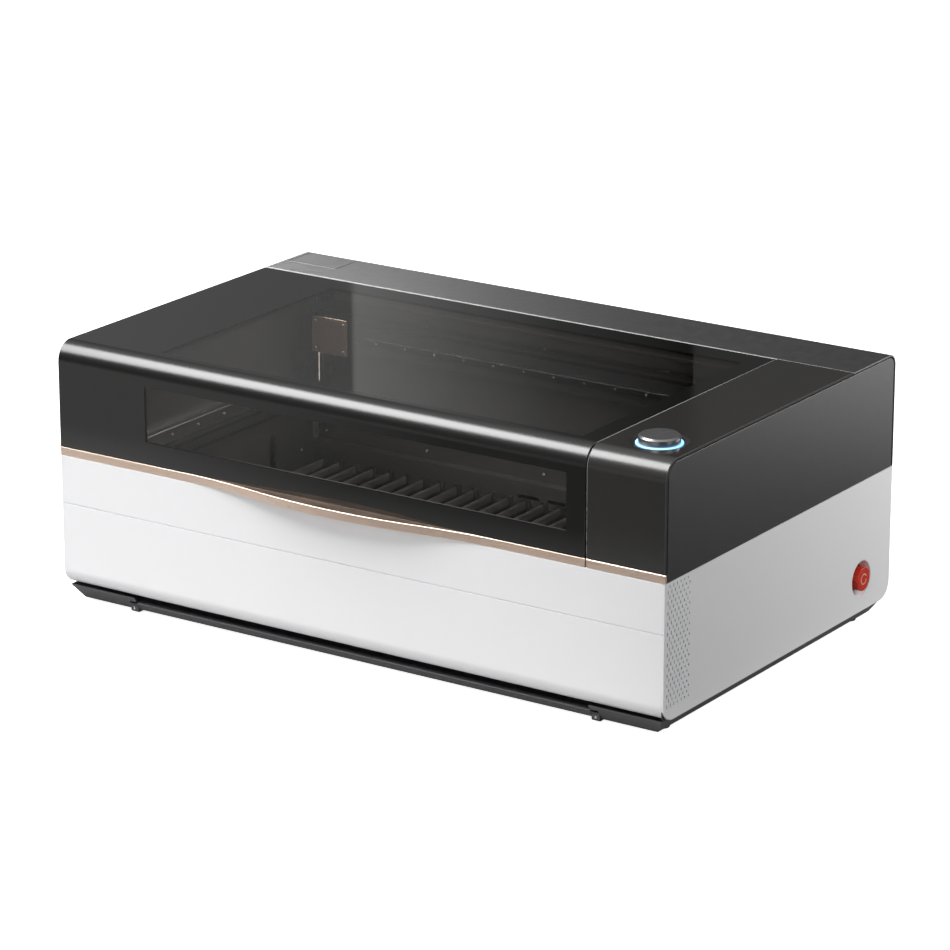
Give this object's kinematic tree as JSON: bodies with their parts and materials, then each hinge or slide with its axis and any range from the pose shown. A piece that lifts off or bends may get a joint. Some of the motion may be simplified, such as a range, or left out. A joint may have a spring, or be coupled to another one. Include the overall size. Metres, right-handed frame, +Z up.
{
  "type": "desktop laser cutter",
  "caption": "Desktop laser cutting machine: white lower cabinet, hinged smoked-glass lid, slatted lift bed, moving gantry and laser head, start button, emergency stop and front feed slot.",
  "frame": {"origin": "under the centre of the body, on the surface the rubber feet stand on", "axes": "+X to the operator's right, +Y to the back, +Z up"},
  "size_m": [1.175, 0.778, 0.4615],
  "materials": {
    "base_paint": "satin",
    "foot_rubber": "matt",
    "white_paint": "satin",
    "charcoal_paint": "satin",
    "console_gloss": "gloss",
    "bronze": "satin anodised",
    "smoked_glass": "polished",
    "frame_black": "satin",
    "inner_sheet": "satin",
    "pan_sheet": "satin",
    "bed_aluminium": "satin",
    "screw_steel": "brushed",
    "rail_aluminium": "satin",
    "belt_rubber": "matt",
    "motor_black": "satin",
    "gantry_black": "black anodised",
    "tube_glass": "polished",
    "clamp_plastic": "matt",
    "supply_case": "satin",
    "tank_plastic": "matt",
    "board_plastic": "satin",
    "diffuser": "matt",
    "button_black": "anodised",
    "dish_gloss": "gloss",
    "light_guide": "gloss",
    "stop_red": "gloss"
  },
  "bodies": {
    "frame": {"base_tray": "base_paint", "rubber_feet": "foot_rubber", "baffle_brackets": "base_paint", "front_lower_panel": "white_paint", "front_upper_panel": "white_paint", "left_side_panel": "white_paint", "right_side_panel": "white_paint", "left_hood_side": "charcoal_paint", "right_hood_side": "charcoal_paint", "rear_panel": "white_paint", "rear_top_cover": "charcoal_paint", "console_cover": "console_gloss", "console_trim": "bronze", "hinge_brackets": "frame_black", "left_inner_wall": "inner_sheet", "right_inner_wall": "inner_sheet", "rear_inner_wall": "inner_sheet", "front_inner_wall": "inner_sheet", "debris_tray": "pan_sheet", "lift_screws": "screw_steel", "y_rails": "rail_aluminium", "y_belts": "belt_rubber", "y_motor": "motor_black", "laser_tube": "tube_glass", "tube_clamps": "clamp_plastic", "first_mirror": "gantry_black", "high_voltage_supply": "supply_case", "coolant_tank": "tank_plastic", "control_board": "board_plastic", "exhaust_fan_housing": "clamp_plastic", "exhaust_collar": "clamp_plastic", "power_inlet": "clamp_plastic", "light_bar": "diffuser", "button_bezel": "dish_gloss", "button_light_ring": "light_guide", "estop_cup": "dish_gloss"},
    "lid": {"lid_glass": "smoked_glass", "lid_frame": "frame_black", "lid_handle": "bronze", "lid_hinge_arms": "frame_black"},
    "hatch": {"service_hatch": "charcoal_paint"},
    "baffle": {"front_baffle": "base_paint"},
    "bed": {"bed_frame": "bed_aluminium", "slat_combs": "bed_aluminium", "knife_slats": "bed_aluminium"},
    "y_shaft": {"y_drive_shaft": "screw_steel"},
    "y_idler": {"y_idlers": "screw_steel"},
    "gantry": {"gantry_end_plates": "gantry_black", "x_beam": "gantry_black", "x_rail": "rail_aluminium", "x_motor": "motor_black", "x_belt": "belt_rubber"},
    "head": {"head_carriage": "gantry_black", "head_front_plate": "bronze"},
    "focus": {"lens_tube": "rail_aluminium", "nozzle": "rail_aluminium"},
    "button": {"start_button": "button_black"},
    "estop_plunger": {"estop_stem": "screw_steel"},
    "estop_knob": {"estop_head": "stop_red"},
    "fan": {"exhaust_fan_rotor": "clamp_plastic"}
  },
  "joints": [
    {"name": "lid_hinge", "type": "hinge", "parent": "frame", "child": "lid", "pos_m": [0, 0.20925, 0.448], "axis": [-1, 0, 0], "range_deg": [0, 65]},
    {"name": "hatch_hinge", "type": "hinge", "parent": "frame", "child": "hatch", "pos_m": [-0.5255, 0.35, 0.4], "axis": [-1, 0, 0], "range_deg": [0, 100]},
    {"name": "baffle_hinge", "type": "hinge", "parent": "frame", "child": "baffle", "pos_m": [0, -0.339, 0.0105], "axis": [1, 0, 0], "range_deg": [0, 70]},
    {"name": "bed_lift", "type": "slide", "parent": "frame", "child": "bed", "axis": [0, 0, 1], "range_m": [0, 0.085]},
    {"name": "gantry_slide", "type": "slide", "parent": "frame", "child": "gantry", "axis": [0, -1, 0], "range_m": [0, 0.4]},
    {"name": "carriage_slide", "type": "slide", "parent": "gantry", "child": "head", "axis": [1, 0, 0], "range_m": [0, 0.73]},
    {"name": "focus_slide", "type": "slide", "parent": "head", "child": "focus", "axis": [0, 0, -1], "range_m": [0, 0.04]},
    {"name": "button_press", "type": "slide", "parent": "frame", "child": "button", "axis": [0, 0, -1], "range_m": [0, 0.003], "stiffness_N_per_m": 1000, "springref_m": -0.002},
    {"name": "estop_press", "type": "slide", "parent": "frame", "child": "estop_plunger", "axis": [-1, 0, 0], "range_m": [0, 0.005]},
    {"name": "estop_twist", "type": "hinge", "parent": "estop_plunger", "child": "estop_knob", "pos_m": [0.58, 0.253, 0.089], "axis": [1, 0, 0], "range_deg": [0, 45], "stiffness_Nm_per_rad": 0.05},
    {"name": "fan_spin", "type": "hinge", "parent": "frame", "child": "fan", "pos_m": [0.25, 0.32, 0.15], "axis": [0, 1, 0], "continuous": true},
    {"name": "y_shaft_spin", "type": "hinge", "parent": "frame", "child": "y_shaft", "pos_m": [0, -0.312, 0.246], "axis": [1, 0, 0], "continuous": true},
    {"name": "y_idler_spin", "type": "hinge", "parent": "frame", "child": "y_idler", "pos_m": [0, 0.168, 0.246], "axis": [1, 0, 0], "continuous": true}
  ],
  "couplings": [
    {"joint": "y_shaft_spin", "follows": "gantry_slide", "rad_per_m": 110.5},
    {"joint": "y_idler_spin", "follows": "gantry_slide", "rad_per_m": 110.5}
  ]
}
